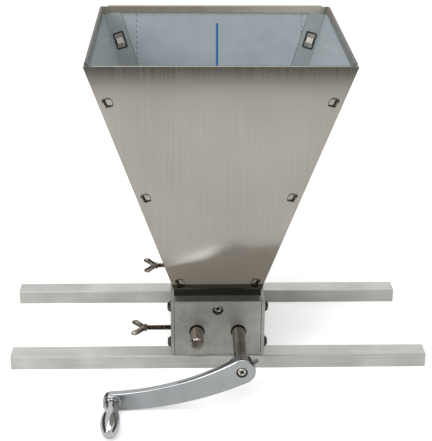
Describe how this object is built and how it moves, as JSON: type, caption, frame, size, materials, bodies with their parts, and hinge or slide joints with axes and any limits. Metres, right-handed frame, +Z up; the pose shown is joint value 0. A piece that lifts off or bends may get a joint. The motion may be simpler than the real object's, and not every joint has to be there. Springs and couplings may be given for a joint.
{
  "type": "grain mill",
  "caption": "Hand-cranked roller mill for malt: a tapered sheet-metal hopper over a plate box with fluted rollers, on rails that lie across a bucket.",
  "frame": {"origin": "on the plane of the rails' undersides, midway between the end plates and midway between the roller axes", "axes": "+X along the rails towards the driven roller, +Y from the crank side to the far end plate, +Z up"},
  "size_m": [0.409, 0.2949, 0.3114],
  "materials": {
    "plate_aluminium": "satin, rolled plate",
    "bar_aluminium": "extruded bar with lengthwise streaks",
    "hopper_stainless": "brushed stainless sheet",
    "roller_steel": "fluted and knurled steel",
    "shaft_steel": "turned steel bar",
    "bush_bronze": "sintered bronze",
    "screw_steel": "dark steel",
    "zinc_steel": "bright plated steel",
    "crank_chrome": "chrome-plated casting"
  },
  "bodies": {
    "frame": {"front_plate": "plate_aluminium", "rear_plate": "plate_aluminium", "left_side_plate": "plate_aluminium", "right_side_plate": "plate_aluminium", "front_rail": "bar_aluminium", "rear_rail": "bar_aluminium", "side_screws": "screw_steel", "rail_screws": "screw_steel", "hopper_front": "hopper_stainless", "hopper_rear": "hopper_stainless", "hopper_left": "hopper_stainless", "hopper_right": "hopper_stainless", "hopper_screws": "zinc_steel", "hopper_nuts": "zinc_steel", "front_drive_bush": "bush_bronze", "rear_drive_bush": "bush_bronze"},
    "drive": {"drive_roller": "roller_steel", "drive_shaft": "shaft_steel", "crank_arm": "crank_chrome", "crank_screw": "zinc_steel", "crank_set_screw": "screw_steel", "grip_pin": "shaft_steel"},
    "crank_grip": {"grip": "crank_chrome"},
    "adjuster_front": {"front_adjuster": "shaft_steel"},
    "adjuster_rear": {"rear_adjuster": "shaft_steel"},
    "idler": {"idle_roller": "roller_steel", "idle_shaft": "shaft_steel"},
    "lock_front": {"front_wing_bolt": "zinc_steel"},
    "lock_rear": {"rear_wing_bolt": "zinc_steel"}
  },
  "joints": [
    {"name": "crank_turn", "type": "hinge", "parent": "frame", "child": "drive", "pos_m": [0.0198, 0, 0.0403], "axis": [0, 1, 0], "continuous": true},
    {"name": "grip_spin", "type": "hinge", "parent": "drive", "child": "crank_grip", "pos_m": [-0.09711, -0.1493, 0.0091], "axis": [0, 1, 0], "continuous": true},
    {"name": "gap_adjust_front", "type": "hinge", "parent": "frame", "child": "adjuster_front", "pos_m": [-0.0198, -0.0665, 0.0403], "axis": [0, 1, 0], "range_deg": [-90, 90]},
    {"name": "gap_adjust_rear", "type": "hinge", "parent": "frame", "child": "adjuster_rear", "pos_m": [-0.0198, 0.0665, 0.0403], "axis": [0, 1, 0], "range_deg": [-90, 90]},
    {"name": "idle_spin", "type": "hinge", "parent": "adjuster_front", "child": "idler", "pos_m": [-0.0198, 0, 0.0393], "axis": [0, 1, 0], "continuous": true},
    {"name": "front_lock_turn", "type": "hinge", "parent": "frame", "child": "lock_front", "pos_m": [-0.0445, -0.064, 0.0403], "axis": [-1, 0, 0], "range_deg": [-360, 360]},
    {"name": "rear_lock_turn", "type": "hinge", "parent": "frame", "child": "lock_rear", "pos_m": [-0.0445, 0.064, 0.0403], "axis": [-1, 0, 0], "range_deg": [0, 360]}
  ],
  "couplings": [
    {"joint": "gap_adjust_rear", "follows": "gap_adjust_front", "ratio": 1}
  ]
}
